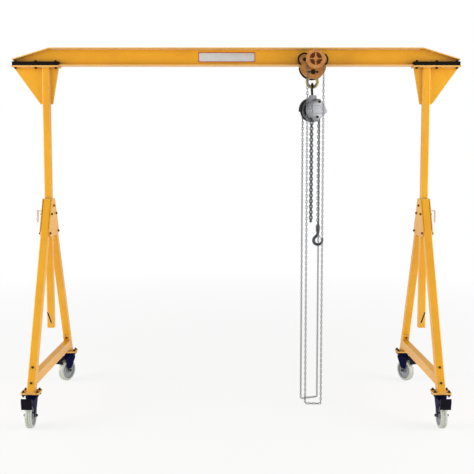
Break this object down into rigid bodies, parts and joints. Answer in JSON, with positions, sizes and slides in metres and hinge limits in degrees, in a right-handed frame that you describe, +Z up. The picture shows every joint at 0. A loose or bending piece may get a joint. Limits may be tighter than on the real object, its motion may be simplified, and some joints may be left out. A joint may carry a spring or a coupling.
{
  "type": "portable gantry crane",
  "caption": "Steel gantry crane on braked casters: I-beam on height-adjustable A-frame legs, with a geared push-chain trolley and a hand chain hoist.",
  "frame": {"origin": "floor level under the middle of the overall length and depth", "axes": "+X along the beam towards the trolley's end at rest, +Y away from the viewer, +Z up"},
  "size_m": [3.78, 1.6405, 3.04],
  "materials": {
    "yellow_paint": "gloss",
    "black_steel": "satin",
    "navy_enamel": "gloss",
    "black_plastic": "satin",
    "nylon": "satin",
    "bronze_enamel": "gloss",
    "dark_iron": "satin",
    "yellow_zinc": "satin",
    "dark_steel": "satin",
    "zinc_plate": "satin",
    "cast_aluminium": "satin"
  },
  "bodies": {
    "left_leg_frame": {"left_legs": "yellow_paint", "left_inner_head_plate": "yellow_paint", "left_outer_head_plate": "yellow_paint", "left_cross_bar": "yellow_paint", "left_caster_plates": "navy_enamel"},
    "upper_frame": {"beam_web": "yellow_paint", "beam_top_flange": "yellow_paint", "beam_bottom_flange": "yellow_paint", "left_post": "yellow_paint", "left_head_bracket": "yellow_paint", "left_clamp_bars": "black_steel", "right_post": "yellow_paint", "right_head_bracket": "yellow_paint", "right_clamp_bars": "black_steel"},
    "right_leg_frame": {"right_legs": "yellow_paint", "right_inner_head_plate": "yellow_paint", "right_outer_head_plate": "yellow_paint", "right_cross_bar": "yellow_paint", "right_caster_plates": "navy_enamel"},
    "left_lock": {"left_lock_screw": "zinc_plate"},
    "left_front_caster": {"left_front_fork": "navy_enamel"},
    "left_front_roller": {"left_front_wheel": "nylon"},
    "left_front_brake": {"left_front_pedal": "black_plastic"},
    "left_rear_caster": {"left_rear_fork": "navy_enamel"},
    "left_rear_roller": {"left_rear_wheel": "nylon"},
    "left_rear_brake": {"left_rear_pedal": "black_plastic"},
    "right_lock": {"right_lock_screw": "zinc_plate"},
    "right_front_caster": {"right_front_fork": "navy_enamel"},
    "right_front_roller": {"right_front_wheel": "nylon"},
    "right_front_brake": {"right_front_pedal": "black_plastic"},
    "right_rear_caster": {"right_rear_fork": "navy_enamel"},
    "right_rear_roller": {"right_rear_wheel": "nylon"},
    "right_rear_brake": {"right_rear_pedal": "black_plastic"},
    "trolley": {"trolley_side_plates": "bronze_enamel", "suspension_shaft": "dark_iron", "trolley_hand_chain": "zinc_plate"},
    "trolley_front_left_roller": {"trolley_front_left_wheel": "dark_iron"},
    "trolley_front_right_roller": {"trolley_front_right_wheel": "dark_iron"},
    "trolley_rear_left_roller": {"trolley_rear_left_wheel": "dark_iron"},
    "trolley_rear_right_roller": {"trolley_rear_right_wheel": "dark_iron"},
    "trolley_drive": {"trolley_hand_wheel": "bronze_enamel"},
    "hoist": {"suspender": "yellow_zinc", "top_hook": "dark_steel", "hoist_body": "cast_aluminium", "hoist_gear_cover": "cast_aluminium", "hoist_wheel_guard": "black_steel", "hoist_hand_chain": "zinc_plate", "load_chain": "dark_steel", "slack_chain": "dark_steel", "hook_block": "dark_steel"},
    "hoist_drive": {"hoist_hand_wheel": "black_steel"},
    "lower_hook": {"load_hook": "dark_steel"},
    "latch": {"hook_latch": "zinc_plate"}
  },
  "joints": [
    {"name": "height_adjust", "type": "slide", "parent": "left_leg_frame", "child": "upper_frame", "axis": [0, 0, 1], "range_m": [0, 0.5]},
    {"name": "height_adjust_right", "type": "slide", "parent": "upper_frame", "child": "right_leg_frame", "axis": [0, 0, -1], "range_m": [0, 0.5]},
    {"name": "left_lock_turn", "type": "hinge", "parent": "left_leg_frame", "child": "left_lock", "pos_m": [-1.66, 0.05, 1.665], "axis": [-1, 0, 0], "range_deg": [-90, 90]},
    {"name": "left_front_swivel", "type": "hinge", "parent": "left_leg_frame", "child": "left_front_caster", "pos_m": [-1.61, -0.656, 0.2], "axis": [0, 0, 1], "continuous": true},
    {"name": "left_front_roll", "type": "hinge", "parent": "left_front_caster", "child": "left_front_roller", "pos_m": [-1.61, -0.692, 0.1], "axis": [1, 0, 0], "continuous": true},
    {"name": "left_front_brake_press", "type": "hinge", "parent": "left_front_caster", "child": "left_front_brake", "pos_m": [-1.61, -0.736, 0.227], "axis": [1, 0, 0], "range_deg": [0, 8]},
    {"name": "left_rear_swivel", "type": "hinge", "parent": "left_leg_frame", "child": "left_rear_caster", "pos_m": [-1.61, 0.756, 0.2], "axis": [0, 0, 1], "continuous": true},
    {"name": "left_rear_roll", "type": "hinge", "parent": "left_rear_caster", "child": "left_rear_roller", "pos_m": [-1.6269, 0.72421, 0.1], "axis": [0.8829, -0.4695, 0], "continuous": true},
    {"name": "left_rear_brake_press", "type": "hinge", "parent": "left_rear_caster", "child": "left_rear_brake", "pos_m": [-1.64756, 0.68536, 0.227], "axis": [0.8829, -0.4695, 0], "range_deg": [0, 8]},
    {"name": "right_lock_turn", "type": "hinge", "parent": "right_leg_frame", "child": "right_lock", "pos_m": [1.66, 0.05, 1.665], "axis": [1, 0, 0], "range_deg": [-90, 90]},
    {"name": "right_front_swivel", "type": "hinge", "parent": "right_leg_frame", "child": "right_front_caster", "pos_m": [1.61, -0.656, 0.2], "axis": [0, 0, 1], "continuous": true},
    {"name": "right_front_roll", "type": "hinge", "parent": "right_front_caster", "child": "right_front_roller", "pos_m": [1.61, -0.692, 0.1], "axis": [1, 0, 0], "continuous": true},
    {"name": "right_front_brake_press", "type": "hinge", "parent": "right_front_caster", "child": "right_front_brake", "pos_m": [1.61, -0.736, 0.227], "axis": [1, 0, 0], "range_deg": [0, 8]},
    {"name": "right_rear_swivel", "type": "hinge", "parent": "right_leg_frame", "child": "right_rear_caster", "pos_m": [1.61, 0.756, 0.2], "axis": [0, 0, 1], "continuous": true},
    {"name": "right_rear_roll", "type": "hinge", "parent": "right_rear_caster", "child": "right_rear_roller", "pos_m": [1.6269, 0.72421, 0.1], "axis": [0.8829, 0.4695, 0], "continuous": true},
    {"name": "right_rear_brake_press", "type": "hinge", "parent": "right_rear_caster", "child": "right_rear_brake", "pos_m": [1.64756, 0.68536, 0.227], "axis": [0.8829, 0.4695, 0], "range_deg": [0, 8]},
    {"name": "trolley_travel", "type": "slide", "parent": "upper_frame", "child": "trolley", "axis": [1, 0, 0], "range_m": [-2.005, 0.715]},
    {"name": "trolley_front_left_roll", "type": "hinge", "parent": "trolley", "child": "trolley_front_left_roller", "pos_m": [0.573, 0.02, 2.9393], "axis": [0, 1, 0], "continuous": true},
    {"name": "trolley_front_right_roll", "type": "hinge", "parent": "trolley", "child": "trolley_front_right_roller", "pos_m": [0.717, 0.02, 2.9393], "axis": [0, 1, 0], "continuous": true},
    {"name": "trolley_rear_left_roll", "type": "hinge", "parent": "trolley", "child": "trolley_rear_left_roller", "pos_m": [0.573, 0.08, 2.9393], "axis": [0, 1, 0], "continuous": true},
    {"name": "trolley_rear_right_roll", "type": "hinge", "parent": "trolley", "child": "trolley_rear_right_roller", "pos_m": [0.717, 0.08, 2.9393], "axis": [0, 1, 0], "continuous": true},
    {"name": "trolley_hand_drive", "type": "hinge", "parent": "trolley", "child": "trolley_drive", "pos_m": [0.66, -0.08, 2.936], "axis": [0, 1, 0], "continuous": true},
    {"name": "hoist_swing", "type": "hinge", "parent": "trolley", "child": "hoist", "pos_m": [0.645, 0.05, 2.835], "axis": [0, 1, 0], "range_deg": [-12, 12]},
    {"name": "hoist_hand_drive", "type": "hinge", "parent": "hoist", "child": "hoist_drive", "pos_m": [0.6414, 0.101, 2.52196], "axis": [-0.3746, 0.9272, 0], "continuous": true},
    {"name": "hook_swivel", "type": "hinge", "parent": "hoist", "child": "lower_hook", "pos_m": [0.70394, 0.05832, 1.49871], "axis": [0, 0, 1], "continuous": true},
    {"name": "latch_open", "type": "hinge", "parent": "lower_hook", "child": "latch", "pos_m": [0.70994, 0.05832, 1.45041], "axis": [0, 1, 0], "range_deg": [0, 25]}
  ],
  "couplings": [
    {"joint": "height_adjust_right", "follows": "height_adjust", "ratio": 1},
    {"joint": "trolley_front_left_roll", "follows": "trolley_travel", "rad_per_m": 25},
    {"joint": "trolley_front_right_roll", "follows": "trolley_travel", "rad_per_m": 25},
    {"joint": "trolley_rear_left_roll", "follows": "trolley_travel", "rad_per_m": 25},
    {"joint": "trolley_rear_right_roll", "follows": "trolley_travel", "rad_per_m": 25},
    {"joint": "trolley_hand_drive", "follows": "trolley_travel", "rad_per_m": -75}
  ]
}
